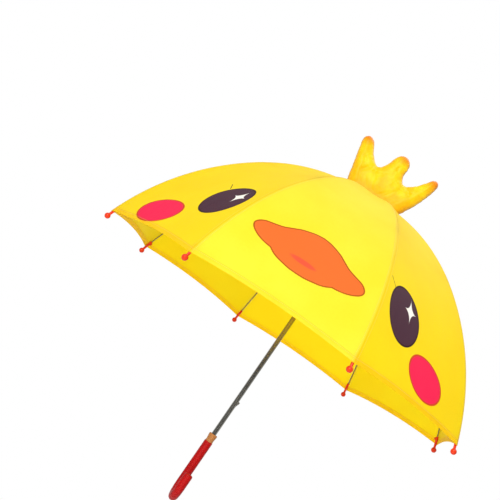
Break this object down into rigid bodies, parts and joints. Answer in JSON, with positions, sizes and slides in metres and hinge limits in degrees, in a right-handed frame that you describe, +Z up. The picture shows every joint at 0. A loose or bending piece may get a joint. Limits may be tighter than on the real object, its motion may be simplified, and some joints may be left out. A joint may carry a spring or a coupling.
{
  "type": "umbrella",
  "caption": "Child's domed stick umbrella with hinged ribs, a sliding runner, a J-shaped handle, a printed animal face and a stuffed crown on top.",
  "frame": {"origin": "on the shaft's axis, level with the lowest point of the handle", "axes": "+Z up along the shaft to the canopy's top; -Y to the front, where the hook points (11.5 degrees towards +X) and the printed face looks; +X to the right seen from the front"},
  "size_m": [0.6394, 0.6394, 0.6776],
  "materials": {
    "canopy_cloth": "taut woven polyester, printed face",
    "rib_wire": "black coated steel wire",
    "tip_plastic": "moulded, glossy",
    "shaft_steel": "plated steel tube",
    "hub_plastic": "moulded, satin",
    "hinge_wire": "drawn wire",
    "spring_steel": "spring strip",
    "crown_cloth": "stuffed woven polyester with darker tips",
    "handle_plastic": "moulded, glossy",
    "collar_plastic": "moulded, satin"
  },
  "bodies": {
    "root": {"shaft_tube": "shaft_steel", "top_notch": "hub_plastic", "notch_wire": "hinge_wire", "ferrule_cap": "hub_plastic", "crown": "crown_cloth", "handle": "handle_plastic", "handle_collar": "collar_plastic"},
    "rib_inner_1": {"rib_inner_1": "rib_wire"},
    "rib_outer_1": {"rib_outer_1": "rib_wire", "tip_1": "tip_plastic"},
    "stretcher_1": {"stretcher_1": "rib_wire"},
    "rib_inner_2": {"rib_inner_2": "rib_wire"},
    "rib_outer_2": {"rib_outer_2": "rib_wire", "tip_2": "tip_plastic"},
    "stretcher_2": {"stretcher_2": "rib_wire"},
    "rib_inner_3": {"rib_inner_3": "rib_wire"},
    "rib_outer_3": {"rib_outer_3": "rib_wire", "tip_3": "tip_plastic"},
    "stretcher_3": {"stretcher_3": "rib_wire"},
    "rib_inner_4": {"rib_inner_4": "rib_wire"},
    "rib_outer_4": {"rib_outer_4": "rib_wire", "tip_4": "tip_plastic"},
    "stretcher_4": {"stretcher_4": "rib_wire"},
    "rib_inner_5": {"rib_inner_5": "rib_wire"},
    "rib_outer_5": {"rib_outer_5": "rib_wire", "tip_5": "tip_plastic"},
    "stretcher_5": {"stretcher_5": "rib_wire"},
    "rib_inner_6": {"rib_inner_6": "rib_wire"},
    "rib_outer_6": {"rib_outer_6": "rib_wire", "tip_6": "tip_plastic"},
    "stretcher_6": {"stretcher_6": "rib_wire"},
    "rib_inner_7": {"rib_inner_7": "rib_wire"},
    "rib_outer_7": {"rib_outer_7": "rib_wire", "tip_7": "tip_plastic"},
    "stretcher_7": {"stretcher_7": "rib_wire"},
    "rib_inner_8": {"rib_inner_8": "rib_wire"},
    "rib_outer_8": {"rib_outer_8": "rib_wire", "tip_8": "tip_plastic"},
    "stretcher_8": {"stretcher_8": "rib_wire"},
    "gore_inner_1": {"gore_inner_1": "canopy_cloth"},
    "gore_outer_1": {"gore_outer_1": "canopy_cloth"},
    "gore_inner_2": {"gore_inner_2": "canopy_cloth"},
    "gore_outer_2": {"gore_outer_2": "canopy_cloth"},
    "gore_inner_3": {"gore_inner_3": "canopy_cloth"},
    "gore_outer_3": {"gore_outer_3": "canopy_cloth"},
    "gore_inner_4": {"gore_inner_4": "canopy_cloth"},
    "gore_outer_4": {"gore_outer_4": "canopy_cloth"},
    "gore_inner_5": {"gore_inner_5": "canopy_cloth"},
    "gore_outer_5": {"gore_outer_5": "canopy_cloth"},
    "gore_inner_6": {"gore_inner_6": "canopy_cloth"},
    "gore_outer_6": {"gore_outer_6": "canopy_cloth"},
    "gore_inner_7": {"gore_inner_7": "canopy_cloth"},
    "gore_outer_7": {"gore_outer_7": "canopy_cloth"},
    "gore_inner_8": {"gore_inner_8": "canopy_cloth"},
    "gore_outer_8": {"gore_outer_8": "canopy_cloth"},
    "runner": {"runner": "hub_plastic", "runner_wire": "hinge_wire"},
    "top_catch": {"top_spring": "spring_steel"},
    "bottom_catch": {"bottom_spring": "spring_steel"}
  },
  "joints": [
    {"name": "rib_fold_1", "type": "hinge", "parent": "root", "child": "rib_inner_1", "pos_m": [-0.00344, -0.00831, 0.58612], "axis": [0.9239, -0.3827, 0], "range_deg": [0, 62.75], "deforming": ["gore_inner_1", "gore_inner_2", "gore_inner_3", "gore_inner_4", "gore_inner_5", "gore_inner_6", "gore_inner_7", "gore_inner_8", "gore_outer_1", "gore_outer_2", "gore_outer_3", "gore_outer_4", "gore_outer_5", "gore_outer_6", "gore_outer_7", "gore_outer_8", "crown"]},
    {"name": "rib_flex_1", "type": "hinge", "parent": "rib_inner_1", "child": "rib_outer_1", "pos_m": [-0.07213, -0.17414, 0.52148], "axis": [0.9239, -0.3827, 0], "range_deg": [-23.33, 0]},
    {"name": "stretcher_pivot_1", "type": "hinge", "parent": "rib_inner_1", "child": "stretcher_1", "pos_m": [-0.07098, -0.17136, 0.51748], "axis": [0.9239, -0.3827, 0], "range_deg": [-125.5, 0]},
    {"name": "rib_fold_2", "type": "hinge", "parent": "root", "child": "rib_inner_2", "pos_m": [0.00344, -0.00831, 0.58612], "axis": [0.9239, 0.3827, 0], "range_deg": [0, 62.75]},
    {"name": "rib_flex_2", "type": "hinge", "parent": "rib_inner_2", "child": "rib_outer_2", "pos_m": [0.07213, -0.17414, 0.52148], "axis": [0.9239, 0.3827, 0], "range_deg": [-23.33, 0]},
    {"name": "stretcher_pivot_2", "type": "hinge", "parent": "rib_inner_2", "child": "stretcher_2", "pos_m": [0.07098, -0.17136, 0.51748], "axis": [0.9239, 0.3827, 0], "range_deg": [-125.5, 0]},
    {"name": "rib_fold_3", "type": "hinge", "parent": "root", "child": "rib_inner_3", "pos_m": [0.00831, -0.00344, 0.58612], "axis": [0.3827, 0.9239, 0], "range_deg": [0, 62.75]},
    {"name": "rib_flex_3", "type": "hinge", "parent": "rib_inner_3", "child": "rib_outer_3", "pos_m": [0.17414, -0.07213, 0.52148], "axis": [0.3827, 0.9239, 0], "range_deg": [-23.33, 0]},
    {"name": "stretcher_pivot_3", "type": "hinge", "parent": "rib_inner_3", "child": "stretcher_3", "pos_m": [0.17136, -0.07098, 0.51748], "axis": [0.3827, 0.9239, 0], "range_deg": [-125.5, 0]},
    {"name": "rib_fold_4", "type": "hinge", "parent": "root", "child": "rib_inner_4", "pos_m": [0.00831, 0.00344, 0.58612], "axis": [-0.3827, 0.9239, 0], "range_deg": [0, 62.75]},
    {"name": "rib_flex_4", "type": "hinge", "parent": "rib_inner_4", "child": "rib_outer_4", "pos_m": [0.17414, 0.07213, 0.52148], "axis": [-0.3827, 0.9239, 0], "range_deg": [-23.33, 0]},
    {"name": "stretcher_pivot_4", "type": "hinge", "parent": "rib_inner_4", "child": "stretcher_4", "pos_m": [0.17136, 0.07098, 0.51748], "axis": [-0.3827, 0.9239, 0], "range_deg": [-125.5, 0]},
    {"name": "rib_fold_5", "type": "hinge", "parent": "root", "child": "rib_inner_5", "pos_m": [0.00344, 0.00831, 0.58612], "axis": [-0.9239, 0.3827, 0], "range_deg": [0, 62.75]},
    {"name": "rib_flex_5", "type": "hinge", "parent": "rib_inner_5", "child": "rib_outer_5", "pos_m": [0.07213, 0.17414, 0.52148], "axis": [-0.9239, 0.3827, 0], "range_deg": [-23.33, 0]},
    {"name": "stretcher_pivot_5", "type": "hinge", "parent": "rib_inner_5", "child": "stretcher_5", "pos_m": [0.07098, 0.17136, 0.51748], "axis": [-0.9239, 0.3827, 0], "range_deg": [-125.5, 0]},
    {"name": "rib_fold_6", "type": "hinge", "parent": "root", "child": "rib_inner_6", "pos_m": [-0.00344, 0.00831, 0.58612], "axis": [-0.9239, -0.3827, 0], "range_deg": [0, 62.75]},
    {"name": "rib_flex_6", "type": "hinge", "parent": "rib_inner_6", "child": "rib_outer_6", "pos_m": [-0.07213, 0.17414, 0.52148], "axis": [-0.9239, -0.3827, 0], "range_deg": [-23.33, 0]},
    {"name": "stretcher_pivot_6", "type": "hinge", "parent": "rib_inner_6", "child": "stretcher_6", "pos_m": [-0.07098, 0.17136, 0.51748], "axis": [-0.9239, -0.3827, 0], "range_deg": [-125.5, 0]},
    {"name": "rib_fold_7", "type": "hinge", "parent": "root", "child": "rib_inner_7", "pos_m": [-0.00831, 0.00344, 0.58612], "axis": [-0.3827, -0.9239, 0], "range_deg": [0, 62.75]},
    {"name": "rib_flex_7", "type": "hinge", "parent": "rib_inner_7", "child": "rib_outer_7", "pos_m": [-0.17414, 0.07213, 0.52148], "axis": [-0.3827, -0.9239, 0], "range_deg": [-23.33, 0]},
    {"name": "stretcher_pivot_7", "type": "hinge", "parent": "rib_inner_7", "child": "stretcher_7", "pos_m": [-0.17136, 0.07098, 0.51748], "axis": [-0.3827, -0.9239, 0], "range_deg": [-125.5, 0]},
    {"name": "rib_fold_8", "type": "hinge", "parent": "root", "child": "rib_inner_8", "pos_m": [-0.00831, -0.00344, 0.58612], "axis": [0.3827, -0.9239, 0], "range_deg": [0, 62.75]},
    {"name": "rib_flex_8", "type": "hinge", "parent": "rib_inner_8", "child": "rib_outer_8", "pos_m": [-0.17414, -0.07213, 0.52148], "axis": [0.3827, -0.9239, 0], "range_deg": [-23.33, 0]},
    {"name": "stretcher_pivot_8", "type": "hinge", "parent": "rib_inner_8", "child": "stretcher_8", "pos_m": [-0.17136, -0.07098, 0.51748], "axis": [0.3827, -0.9239, 0], "range_deg": [-125.5, 0]},
    {"name": "gore_inner_fold_1", "type": "hinge", "parent": "rib_inner_1", "child": "gore_inner_1", "pos_m": [0, 0.2483, 0.44074], "axis": [0, 0.8712, -0.4908], "range_deg": [0, 45.97]},
    {"name": "gore_outer_fold_1", "type": "hinge", "parent": "rib_outer_1", "child": "gore_outer_1", "pos_m": [0, 0.20813, 0.62877], "axis": [0, 0.9493, -0.3142], "range_deg": [0, 29.66]},
    {"name": "gore_inner_fold_2", "type": "hinge", "parent": "rib_inner_2", "child": "gore_inner_2", "pos_m": [-0.17558, 0.17558, 0.44074], "axis": [-0.6161, 0.6161, -0.4908], "range_deg": [0, 45.97]},
    {"name": "gore_outer_fold_2", "type": "hinge", "parent": "rib_outer_2", "child": "gore_outer_2", "pos_m": [-0.14717, 0.14717, 0.62877], "axis": [-0.6713, 0.6713, -0.3142], "range_deg": [0, 29.66]},
    {"name": "gore_inner_fold_3", "type": "hinge", "parent": "rib_inner_3", "child": "gore_inner_3", "pos_m": [-0.2483, 0, 0.44074], "axis": [-0.8712, 0, -0.4908], "range_deg": [0, 45.97]},
    {"name": "gore_outer_fold_3", "type": "hinge", "parent": "rib_outer_3", "child": "gore_outer_3", "pos_m": [-0.20813, 0, 0.62877], "axis": [-0.9493, 0, -0.3142], "range_deg": [0, 29.66]},
    {"name": "gore_inner_fold_4", "type": "hinge", "parent": "rib_inner_4", "child": "gore_inner_4", "pos_m": [-0.17558, -0.17558, 0.44074], "axis": [-0.6161, -0.6161, -0.4908], "range_deg": [0, 45.97]},
    {"name": "gore_outer_fold_4", "type": "hinge", "parent": "rib_outer_4", "child": "gore_outer_4", "pos_m": [-0.14717, -0.14717, 0.62877], "axis": [-0.6713, -0.6713, -0.3142], "range_deg": [0, 29.66]},
    {"name": "gore_inner_fold_5", "type": "hinge", "parent": "rib_inner_5", "child": "gore_inner_5", "pos_m": [0, -0.2483, 0.44074], "axis": [0, -0.8712, -0.4908], "range_deg": [0, 45.97]},
    {"name": "gore_outer_fold_5", "type": "hinge", "parent": "rib_outer_5", "child": "gore_outer_5", "pos_m": [0, -0.20813, 0.62877], "axis": [0, -0.9493, -0.3142], "range_deg": [0, 29.66]},
    {"name": "gore_inner_fold_6", "type": "hinge", "parent": "rib_inner_6", "child": "gore_inner_6", "pos_m": [0.17558, -0.17558, 0.44074], "axis": [0.6161, -0.6161, -0.4908], "range_deg": [0, 45.97]},
    {"name": "gore_outer_fold_6", "type": "hinge", "parent": "rib_outer_6", "child": "gore_outer_6", "pos_m": [0.14717, -0.14717, 0.62877], "axis": [0.6713, -0.6713, -0.3142], "range_deg": [0, 29.66]},
    {"name": "gore_inner_fold_7", "type": "hinge", "parent": "rib_inner_7", "child": "gore_inner_7", "pos_m": [0.2483, 0, 0.44074], "axis": [0.8712, 0, -0.4908], "range_deg": [0, 45.97]},
    {"name": "gore_outer_fold_7", "type": "hinge", "parent": "rib_outer_7", "child": "gore_outer_7", "pos_m": [0.20813, 0, 0.62877], "axis": [0.9493, 0, -0.3142], "range_deg": [0, 29.66]},
    {"name": "gore_inner_fold_8", "type": "hinge", "parent": "rib_inner_8", "child": "gore_inner_8", "pos_m": [0.17558, 0.17558, 0.44074], "axis": [0.6161, 0.6161, -0.4908], "range_deg": [0, 45.97]},
    {"name": "gore_outer_fold_8", "type": "hinge", "parent": "rib_outer_8", "child": "gore_outer_8", "pos_m": [0.14717, 0.14717, 0.62877], "axis": [0.6713, 0.6713, -0.3142], "range_deg": [0, 29.66]},
    {"name": "runner_travel", "type": "hinge", "parent": "stretcher_1", "child": "runner", "pos_m": [-0.00344, -0.00831, 0.44885], "axis": [0.9239, -0.3827, 0], "range_deg": [0, 62.75]},
    {"name": "top_catch_press", "type": "slide", "parent": "root", "child": "top_catch", "axis": [-1, 0, 0], "range_m": [0, 0.0026], "stiffness_N_per_m": 300},
    {"name": "bottom_catch_press", "type": "slide", "parent": "root", "child": "bottom_catch", "axis": [-1, 0, 0], "range_m": [0, 0.0026], "stiffness_N_per_m": 300}
  ],
  "couplings": [
    {"joint": "rib_flex_1", "follows": "rib_fold_1", "ratio": -0.37174},
    {"joint": "stretcher_pivot_1", "follows": "rib_fold_1", "ratio": -2},
    {"joint": "rib_fold_2", "follows": "rib_fold_1", "ratio": 1},
    {"joint": "rib_flex_2", "follows": "rib_fold_1", "ratio": -0.37174},
    {"joint": "stretcher_pivot_2", "follows": "rib_fold_1", "ratio": -2},
    {"joint": "rib_fold_3", "follows": "rib_fold_1", "ratio": 1},
    {"joint": "rib_flex_3", "follows": "rib_fold_1", "ratio": -0.37174},
    {"joint": "stretcher_pivot_3", "follows": "rib_fold_1", "ratio": -2},
    {"joint": "rib_fold_4", "follows": "rib_fold_1", "ratio": 1},
    {"joint": "rib_flex_4", "follows": "rib_fold_1", "ratio": -0.37174},
    {"joint": "stretcher_pivot_4", "follows": "rib_fold_1", "ratio": -2},
    {"joint": "rib_fold_5", "follows": "rib_fold_1", "ratio": 1},
    {"joint": "rib_flex_5", "follows": "rib_fold_1", "ratio": -0.37174},
    {"joint": "stretcher_pivot_5", "follows": "rib_fold_1", "ratio": -2},
    {"joint": "rib_fold_6", "follows": "rib_fold_1", "ratio": 1},
    {"joint": "rib_flex_6", "follows": "rib_fold_1", "ratio": -0.37174},
    {"joint": "stretcher_pivot_6", "follows": "rib_fold_1", "ratio": -2},
    {"joint": "rib_fold_7", "follows": "rib_fold_1", "ratio": 1},
    {"joint": "rib_flex_7", "follows": "rib_fold_1", "ratio": -0.37174},
    {"joint": "stretcher_pivot_7", "follows": "rib_fold_1", "ratio": -2},
    {"joint": "rib_fold_8", "follows": "rib_fold_1", "ratio": 1},
    {"joint": "rib_flex_8", "follows": "rib_fold_1", "ratio": -0.37174},
    {"joint": "stretcher_pivot_8", "follows": "rib_fold_1", "ratio": -2},
    {"joint": "gore_inner_fold_1", "follows": "rib_fold_1", "ratio": 0.73259},
    {"joint": "gore_outer_fold_1", "follows": "rib_fold_1", "ratio": 0.47274},
    {"joint": "gore_inner_fold_2", "follows": "rib_fold_1", "ratio": 0.73259},
    {"joint": "gore_outer_fold_2", "follows": "rib_fold_1", "ratio": 0.47274},
    {"joint": "gore_inner_fold_3", "follows": "rib_fold_1", "ratio": 0.73259},
    {"joint": "gore_outer_fold_3", "follows": "rib_fold_1", "ratio": 0.47274},
    {"joint": "gore_inner_fold_4", "follows": "rib_fold_1", "ratio": 0.73259},
    {"joint": "gore_outer_fold_4", "follows": "rib_fold_1", "ratio": 0.47274},
    {"joint": "gore_inner_fold_5", "follows": "rib_fold_1", "ratio": 0.73259},
    {"joint": "gore_outer_fold_5", "follows": "rib_fold_1", "ratio": 0.47274},
    {"joint": "gore_inner_fold_6", "follows": "rib_fold_1", "ratio": 0.73259},
    {"joint": "gore_outer_fold_6", "follows": "rib_fold_1", "ratio": 0.47274},
    {"joint": "gore_inner_fold_7", "follows": "rib_fold_1", "ratio": 0.73259},
    {"joint": "gore_outer_fold_7", "follows": "rib_fold_1", "ratio": 0.47274},
    {"joint": "gore_inner_fold_8", "follows": "rib_fold_1", "ratio": 0.73259},
    {"joint": "gore_outer_fold_8", "follows": "rib_fold_1", "ratio": 0.47274},
    {"joint": "runner_travel", "follows": "rib_fold_1", "ratio": 1}
  ]
}
